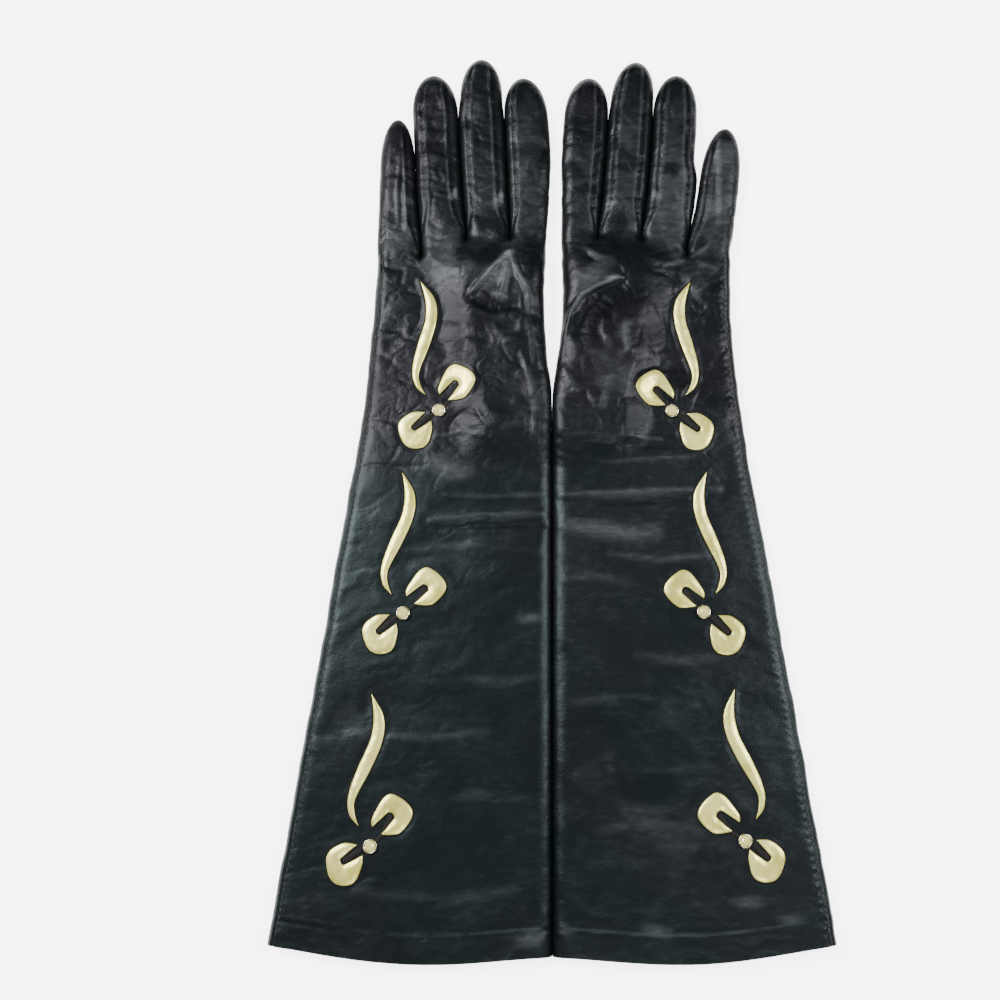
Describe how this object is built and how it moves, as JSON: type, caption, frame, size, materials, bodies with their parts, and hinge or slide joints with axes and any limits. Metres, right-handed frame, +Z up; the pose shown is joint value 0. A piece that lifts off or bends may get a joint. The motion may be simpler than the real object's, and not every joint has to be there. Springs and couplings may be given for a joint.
{
  "type": "opera gloves",
  "caption": "Long black leather dress gloves lying flat, backs up, thumbs folded under the palms, with flared cuffs, sewn finger side strips and gold leather bows set with cut stones.",
  "frame": {"origin": "on the table under the middle of the pair's bounding box", "axes": "+Z up from the table through the backs of the gloves, +Y from the cuffs towards the fingertips, +X to the wearer's right glove"},
  "size_m": [0.26, 0.4562, 0.0132],
  "materials": {
    "black_leather": "soft satin kid leather with fine grain and soft creases",
    "gold_leather": "pale metallic gold foil leather, satin",
    "gold_metal": "polished gold plate",
    "crystal": "clear cut rhinestone with foil back"
  },
  "bodies": {
    "left_sleeve": {"left_sleeve_trank": "black_leather", "left_cuff_hem": "black_leather", "left_bow2_tail": "gold_leather", "left_bow2_upper_loop": "gold_leather", "left_bow2_lower_loop": "gold_leather", "left_bow2_setting": "gold_metal", "left_bow2_stone": "crystal", "left_bow3_tail": "gold_leather", "left_bow3_upper_loop": "gold_leather", "left_bow3_lower_loop": "gold_leather", "left_bow3_setting": "gold_metal", "left_bow3_stone": "crystal"},
    "left_hand": {"left_hand_trank": "black_leather", "left_bow1_tail": "gold_leather", "left_bow1_upper_loop": "gold_leather", "left_bow1_lower_loop": "gold_leather", "left_bow1_setting": "gold_metal", "left_bow1_stone": "crystal"},
    "left_thumb": {"left_thumb": "black_leather"},
    "left_index": {"left_index_fourchette_outer": "black_leather", "left_index_trank": "black_leather"},
    "left_middle": {"left_middle_fourchette_inner": "black_leather", "left_middle_fourchette_outer": "black_leather", "left_middle_trank": "black_leather"},
    "left_ring": {"left_ring_fourchette_inner": "black_leather", "left_ring_fourchette_outer": "black_leather", "left_ring_trank": "black_leather"},
    "left_little": {"left_little_fourchette_inner": "black_leather", "left_little_trank": "black_leather"},
    "right_sleeve": {"right_sleeve_trank": "black_leather", "right_cuff_hem": "black_leather", "right_bow2_tail": "gold_leather", "right_bow2_upper_loop": "gold_leather", "right_bow2_lower_loop": "gold_leather", "right_bow2_setting": "gold_metal", "right_bow2_stone": "crystal", "right_bow3_tail": "gold_leather", "right_bow3_upper_loop": "gold_leather", "right_bow3_lower_loop": "gold_leather", "right_bow3_setting": "gold_metal", "right_bow3_stone": "crystal"},
    "right_hand": {"right_hand_trank": "black_leather", "right_bow1_tail": "gold_leather", "right_bow1_upper_loop": "gold_leather", "right_bow1_lower_loop": "gold_leather", "right_bow1_setting": "gold_metal", "right_bow1_stone": "crystal"},
    "right_thumb": {"right_thumb": "black_leather"},
    "right_index": {"right_index_fourchette_outer": "black_leather", "right_index_trank": "black_leather"},
    "right_middle": {"right_middle_fourchette_inner": "black_leather", "right_middle_fourchette_outer": "black_leather", "right_middle_trank": "black_leather"},
    "right_ring": {"right_ring_fourchette_inner": "black_leather", "right_ring_fourchette_outer": "black_leather", "right_ring_trank": "black_leather"},
    "right_little": {"right_little_fourchette_inner": "black_leather", "right_little_trank": "black_leather"}
  },
  "joints": [
    {"name": "left_wrist_bend", "type": "hinge", "parent": "left_sleeve", "child": "left_hand", "pos_m": [-0.0492, 0.00615, 0], "axis": [-1, 0, 0], "range_deg": [-30, 75]},
    {"name": "left_index_bend", "type": "hinge", "parent": "left_hand", "child": "left_index", "pos_m": [-0.0119, 0.12915, 0], "axis": [-1, 0, 0], "range_deg": [-20, 90]},
    {"name": "left_middle_bend", "type": "hinge", "parent": "left_hand", "child": "left_middle", "pos_m": [-0.033, 0.12915, 0], "axis": [-1, 0, 0], "range_deg": [-20, 90]},
    {"name": "left_ring_bend", "type": "hinge", "parent": "left_hand", "child": "left_ring", "pos_m": [-0.05585, 0.12815, 0], "axis": [-1, 0, 0], "range_deg": [-20, 90]},
    {"name": "left_little_bend", "type": "hinge", "parent": "left_hand", "child": "left_little", "pos_m": [-0.0787, 0.11915, 0], "axis": [-1, 0, 0], "range_deg": [-20, 90]},
    {"name": "left_thumb_fold", "type": "hinge", "parent": "left_hand", "child": "left_thumb", "pos_m": [-0.0175, 0.03815, 0.00645], "axis": [-1, 0, 0], "range_deg": [0, 90]},
    {"name": "right_wrist_bend", "type": "hinge", "parent": "right_sleeve", "child": "right_hand", "pos_m": [0.0492, 0.00615, 0], "axis": [-1, 0, 0], "range_deg": [-30, 75]},
    {"name": "right_index_bend", "type": "hinge", "parent": "right_hand", "child": "right_index", "pos_m": [0.0141, 0.12915, 0], "axis": [-1, 0, 0], "range_deg": [-20, 90]},
    {"name": "right_middle_bend", "type": "hinge", "parent": "right_hand", "child": "right_middle", "pos_m": [0.0352, 0.12915, 0], "axis": [-1, 0, 0], "range_deg": [-20, 90]},
    {"name": "right_ring_bend", "type": "hinge", "parent": "right_hand", "child": "right_ring", "pos_m": [0.05805, 0.12815, 0], "axis": [-1, 0, 0], "range_deg": [-20, 90]},
    {"name": "right_little_bend", "type": "hinge", "parent": "right_hand", "child": "right_little", "pos_m": [0.0809, 0.11915, 0], "axis": [-1, 0, 0], "range_deg": [-20, 90]},
    {"name": "right_thumb_fold", "type": "hinge", "parent": "right_hand", "child": "right_thumb", "pos_m": [0.018, 0.03815, 0.00645], "axis": [-1, 0, 0], "range_deg": [0, 90]},
    {"name": "right_glove_slide", "type": "slide", "parent": "left_sleeve", "child": "right_sleeve", "axis": [1, 0, 0], "range_m": [0, 0.35]}
  ]
}
